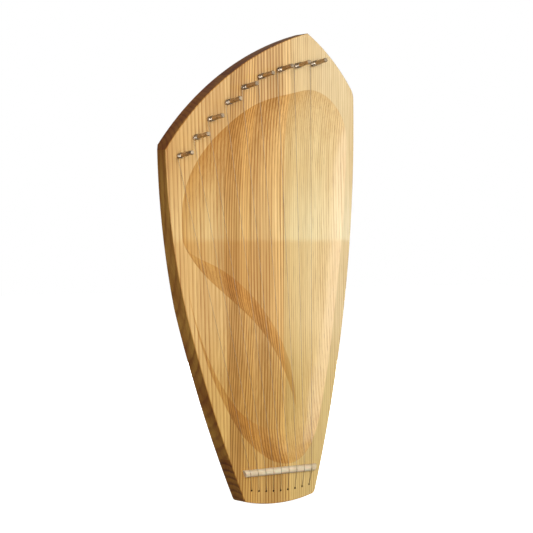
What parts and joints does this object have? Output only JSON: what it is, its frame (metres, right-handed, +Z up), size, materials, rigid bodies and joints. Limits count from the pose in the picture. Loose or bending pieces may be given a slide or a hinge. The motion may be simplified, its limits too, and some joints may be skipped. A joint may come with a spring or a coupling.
{
  "type": "lap harp",
  "caption": "Small board-bodied lap harp of glued ash staves with a carved hollow, steel strings over a low bridge, and leaning tuning pins that turn.",
  "frame": {"origin": "bottom centre of the instrument's box, at the lowest point of its foot, near the plane of the front face", "axes": "+Z up along the grain and the strings, front face and strings towards -Y, +X to the right as seen from the front"},
  "size_m": [0.2555, 0.0485, 0.5173],
  "materials": {
    "body_stave_1": "satin clear lacquer on ash",
    "body_stave_2": "satin clear lacquer on ash",
    "body_stave_3": "satin clear lacquer on ash",
    "body_stave_4": "satin clear lacquer on ash",
    "bridge": "satin off-white bone-like bar",
    "tuning_pins": "plain bright steel",
    "string_windings": "drawn steel wire",
    "strings": "drawn steel wire",
    "ball_ends": "plain turned brass"
  },
  "bodies": {
    "board": {"body_stave_1": "body_stave_1", "body_stave_2": "body_stave_2", "body_stave_3": "body_stave_3", "body_stave_4": "body_stave_4", "bridge": "bridge", "string_1": "strings", "string_2": "strings", "string_3": "strings", "string_4": "strings", "string_5": "strings", "string_6": "strings", "string_7": "strings", "string_8": "strings", "string_9": "strings", "ball_end_1": "ball_ends", "ball_end_2": "ball_ends", "ball_end_3": "ball_ends", "ball_end_4": "ball_ends", "ball_end_5": "ball_ends", "ball_end_6": "ball_ends", "ball_end_7": "ball_ends", "ball_end_8": "ball_ends", "ball_end_9": "ball_ends"},
    "pin_1": {"tuning_pin_1": "tuning_pins", "string_winding_1": "string_windings"},
    "pin_2": {"tuning_pin_2": "tuning_pins", "string_winding_2": "string_windings"},
    "pin_3": {"tuning_pin_3": "tuning_pins", "string_winding_3": "string_windings"},
    "pin_4": {"tuning_pin_4": "tuning_pins", "string_winding_4": "string_windings"},
    "pin_5": {"tuning_pin_5": "tuning_pins", "string_winding_5": "string_windings"},
    "pin_6": {"tuning_pin_6": "tuning_pins", "string_winding_6": "string_windings"},
    "pin_7": {"tuning_pin_7": "tuning_pins", "string_winding_7": "string_windings"},
    "pin_8": {"tuning_pin_8": "tuning_pins", "string_winding_8": "string_windings"},
    "pin_9": {"tuning_pin_9": "tuning_pins", "string_winding_9": "string_windings"}
  },
  "joints": [
    {"name": "pin_1_turn", "type": "hinge", "parent": "board", "child": "pin_1", "pos_m": [-0.1115, 0, 0.3765], "axis": [0, -0.9925, 0.1219], "continuous": true},
    {"name": "pin_2_turn", "type": "hinge", "parent": "board", "child": "pin_2", "pos_m": [-0.091, 0, 0.3965], "axis": [0, -0.9925, 0.1219], "continuous": true},
    {"name": "pin_3_turn", "type": "hinge", "parent": "board", "child": "pin_3", "pos_m": [-0.0725, 0, 0.4165], "axis": [0, -0.9925, 0.1219], "continuous": true},
    {"name": "pin_4_turn", "type": "hinge", "parent": "board", "child": "pin_4", "pos_m": [-0.0495, 0, 0.4355], "axis": [0, -0.9925, 0.1219], "continuous": true},
    {"name": "pin_5_turn", "type": "hinge", "parent": "board", "child": "pin_5", "pos_m": [-0.028, 0, 0.4525], "axis": [0, -0.9925, 0.1219], "continuous": true},
    {"name": "pin_6_turn", "type": "hinge", "parent": "board", "child": "pin_6", "pos_m": [-0.006, 0, 0.465], "axis": [0, -0.9925, 0.1219], "continuous": true},
    {"name": "pin_7_turn", "type": "hinge", "parent": "board", "child": "pin_7", "pos_m": [0.02, 0, 0.474], "axis": [0, -0.9925, 0.1219], "continuous": true},
    {"name": "pin_8_turn", "type": "hinge", "parent": "board", "child": "pin_8", "pos_m": [0.0435, 0, 0.4795], "axis": [0, -0.9925, 0.1219], "continuous": true},
    {"name": "pin_9_turn", "type": "hinge", "parent": "board", "child": "pin_9", "pos_m": [0.0665, 0, 0.483], "axis": [0, -0.9925, 0.1219], "continuous": true}
  ]
}
